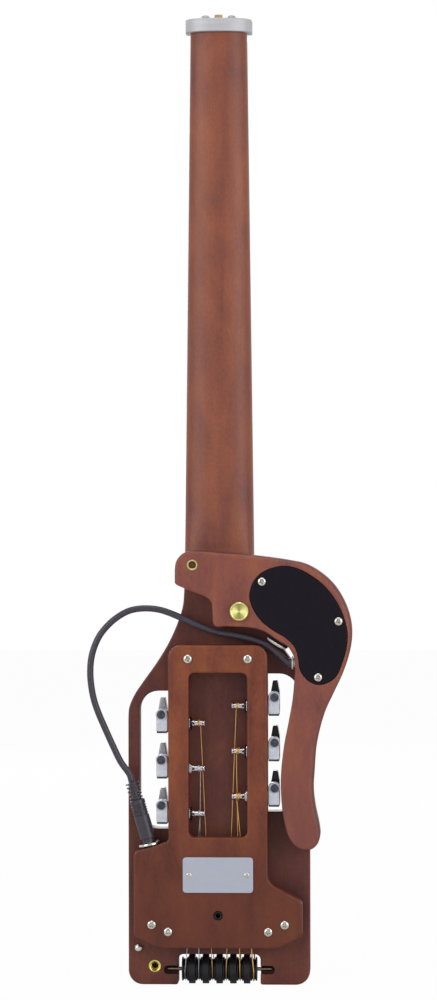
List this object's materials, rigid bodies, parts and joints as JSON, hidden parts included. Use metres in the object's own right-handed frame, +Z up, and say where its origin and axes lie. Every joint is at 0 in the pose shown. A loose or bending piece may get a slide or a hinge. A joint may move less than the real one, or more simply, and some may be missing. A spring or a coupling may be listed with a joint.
{
  "type": "travel guitar",
  "caption": "Full-scale electric travel guitar without a headstock: slim neck-through body, tuners in a raised block on the back, tail rollers, and a lift-off lap rest.",
  "frame": {"origin": "middle of the tail edge, halfway through the slab's thickness, where a cradle or hand holds the guitar up", "axes": "+Z up along the neck, -Y out of the back, +X to the right seen from the back"},
  "size_m": [0.1944, 0.054, 0.7148],
  "materials": {
    "walnut_body": "satin lacquer",
    "fretboard_wood": "oiled",
    "bone": "polished",
    "cap_alloy": "polished",
    "brass_parts": "spun and lacquered",
    "housing_wood": "satin lacquer",
    "plate_metal": "satin",
    "black_plastic": "satin",
    "die_cast": "satin plated",
    "post_steel": "plated",
    "string_plain": "drawn",
    "string_wound": "wound",
    "roller_plastic": "turned",
    "rest_wood": "satin lacquer",
    "board_green": "coated",
    "nickel_parts": "polished",
    "cord_rubber": "satin"
  },
  "bodies": {
    "guitar": {"body": "walnut_body", "fretboard": "fretboard_wood", "bridge_base": "fretboard_wood", "nut": "bone", "saddle": "bone", "end_cap": "cap_alloy", "truss_rod": "brass_parts", "brass_insert": "brass_parts", "tuner_housing": "housing_wood", "nameplate": "plate_metal", "headphone_socket": "black_plastic", "pickup": "black_plastic", "tuner_case_1": "die_cast", "string_1": "string_plain", "tuner_case_2": "die_cast", "string_2": "string_plain", "tuner_case_3": "die_cast", "string_3": "string_wound", "tuner_case_4": "die_cast", "string_4": "string_wound", "tuner_case_5": "die_cast", "string_5": "string_wound", "tuner_case_6": "die_cast", "string_6": "string_wound", "spacer_1": "roller_plastic", "spacer_2": "roller_plastic", "spacer_3": "roller_plastic", "spacer_4": "roller_plastic", "spacer_5": "roller_plastic", "tail_axle": "post_steel", "locating_pin": "rest_wood", "output_jack": "nickel_parts", "dome_stud": "nickel_parts", "cord": "cord_rubber"},
    "lap_rest": {"lap_rest": "rest_wood", "control_cover": "black_plastic", "ferrule": "brass_parts", "preamp_board": "board_green", "cord_gland": "nickel_parts"},
    "thumbscrew": {"thumbscrew": "brass_parts"},
    "volume_knob": {"volume_knob": "black_plastic"},
    "plug": {"cord_plug": "cord_rubber"},
    "button_1": {"tuner_button_1": "die_cast"},
    "post_1": {"tuner_post_1": "post_steel"},
    "roller_1": {"roller_1": "roller_plastic"},
    "button_2": {"tuner_button_2": "die_cast"},
    "post_2": {"tuner_post_2": "post_steel"},
    "roller_2": {"roller_2": "roller_plastic"},
    "button_3": {"tuner_button_3": "die_cast"},
    "post_3": {"tuner_post_3": "post_steel"},
    "roller_3": {"roller_3": "roller_plastic"},
    "button_4": {"tuner_button_4": "black_plastic"},
    "post_4": {"tuner_post_4": "post_steel"},
    "roller_4": {"roller_4": "roller_plastic"},
    "button_5": {"tuner_button_5": "black_plastic"},
    "post_5": {"tuner_post_5": "post_steel"},
    "roller_5": {"roller_5": "roller_plastic"},
    "button_6": {"tuner_button_6": "black_plastic"},
    "post_6": {"tuner_post_6": "post_steel"},
    "roller_6": {"roller_6": "roller_plastic"}
  },
  "joints": [
    {"name": "button_1_spin", "type": "hinge", "parent": "guitar", "child": "button_1", "pos_m": [-0.0414, 0, 0.1331], "axis": [0, -1, 0], "continuous": true},
    {"name": "post_1_spin", "type": "hinge", "parent": "guitar", "child": "post_1", "pos_m": [0, -0.01965, 0.1265], "axis": [1, 0, 0], "continuous": true},
    {"name": "roller_1_spin", "type": "hinge", "parent": "guitar", "child": "roller_1", "pos_m": [0, -0.0023, 0.0109], "axis": [1, 0, 0], "continuous": true},
    {"name": "button_2_spin", "type": "hinge", "parent": "guitar", "child": "button_2", "pos_m": [-0.0414, 0, 0.1663], "axis": [0, -1, 0], "continuous": true},
    {"name": "post_2_spin", "type": "hinge", "parent": "guitar", "child": "post_2", "pos_m": [0, -0.01965, 0.1597], "axis": [1, 0, 0], "continuous": true},
    {"name": "roller_2_spin", "type": "hinge", "parent": "guitar", "child": "roller_2", "pos_m": [0, -0.0023, 0.0109], "axis": [1, 0, 0], "continuous": true},
    {"name": "button_3_spin", "type": "hinge", "parent": "guitar", "child": "button_3", "pos_m": [-0.0414, 0, 0.1995], "axis": [0, -1, 0], "continuous": true},
    {"name": "post_3_spin", "type": "hinge", "parent": "guitar", "child": "post_3", "pos_m": [0, -0.01965, 0.1929], "axis": [1, 0, 0], "continuous": true},
    {"name": "roller_3_spin", "type": "hinge", "parent": "guitar", "child": "roller_3", "pos_m": [0, -0.0023, 0.0109], "axis": [1, 0, 0], "continuous": true},
    {"name": "button_4_spin", "type": "hinge", "parent": "guitar", "child": "button_4", "pos_m": [0.0414, 0, 0.2122], "axis": [0, -1, 0], "continuous": true},
    {"name": "post_4_spin", "type": "hinge", "parent": "guitar", "child": "post_4", "pos_m": [0, -0.01965, 0.2056], "axis": [1, 0, 0], "continuous": true},
    {"name": "roller_4_spin", "type": "hinge", "parent": "guitar", "child": "roller_4", "pos_m": [0, -0.0023, 0.0109], "axis": [1, 0, 0], "continuous": true},
    {"name": "button_5_spin", "type": "hinge", "parent": "guitar", "child": "button_5", "pos_m": [0.0414, 0, 0.179], "axis": [0, -1, 0], "continuous": true},
    {"name": "post_5_spin", "type": "hinge", "parent": "guitar", "child": "post_5", "pos_m": [0, -0.01965, 0.1724], "axis": [1, 0, 0], "continuous": true},
    {"name": "roller_5_spin", "type": "hinge", "parent": "guitar", "child": "roller_5", "pos_m": [0, -0.0023, 0.0109], "axis": [1, 0, 0], "continuous": true},
    {"name": "button_6_spin", "type": "hinge", "parent": "guitar", "child": "button_6", "pos_m": [0.0414, 0, 0.1458], "axis": [0, -1, 0], "continuous": true},
    {"name": "post_6_spin", "type": "hinge", "parent": "guitar", "child": "post_6", "pos_m": [0, -0.01965, 0.1392], "axis": [1, 0, 0], "continuous": true},
    {"name": "roller_6_spin", "type": "hinge", "parent": "guitar", "child": "roller_6", "pos_m": [0, -0.0023, 0.0109], "axis": [1, 0, 0], "continuous": true},
    {"name": "lap_rest_lift", "type": "slide", "parent": "guitar", "child": "lap_rest", "axis": [0, -1, 0], "range_m": [0, 0.04], "deforming": ["cord"]},
    {"name": "thumbscrew_turn", "type": "hinge", "parent": "lap_rest", "child": "thumbscrew", "pos_m": [0.0159, -0.0295, 0.275], "axis": [0, -1, 0], "continuous": true},
    {"name": "volume_turn", "type": "hinge", "parent": "lap_rest", "child": "volume_knob", "pos_m": [0.0439, -0.01965, 0.2532], "axis": [-0.5195, 0, -0.8545], "range_deg": [0, 300]},
    {"name": "plug_pull", "type": "slide", "parent": "guitar", "child": "plug", "axis": [-0.2756, 0, 0.9613], "range_m": [0, 0.022], "deforming": ["cord"]}
  ],
  "couplings": [
    {"joint": "post_1_spin", "follows": "button_1_spin", "ratio": 0.066667},
    {"joint": "post_2_spin", "follows": "button_2_spin", "ratio": 0.066667},
    {"joint": "post_3_spin", "follows": "button_3_spin", "ratio": 0.066667},
    {"joint": "post_4_spin", "follows": "button_4_spin", "ratio": -0.066667},
    {"joint": "post_5_spin", "follows": "button_5_spin", "ratio": -0.066667},
    {"joint": "post_6_spin", "follows": "button_6_spin", "ratio": -0.066667}
  ]
}
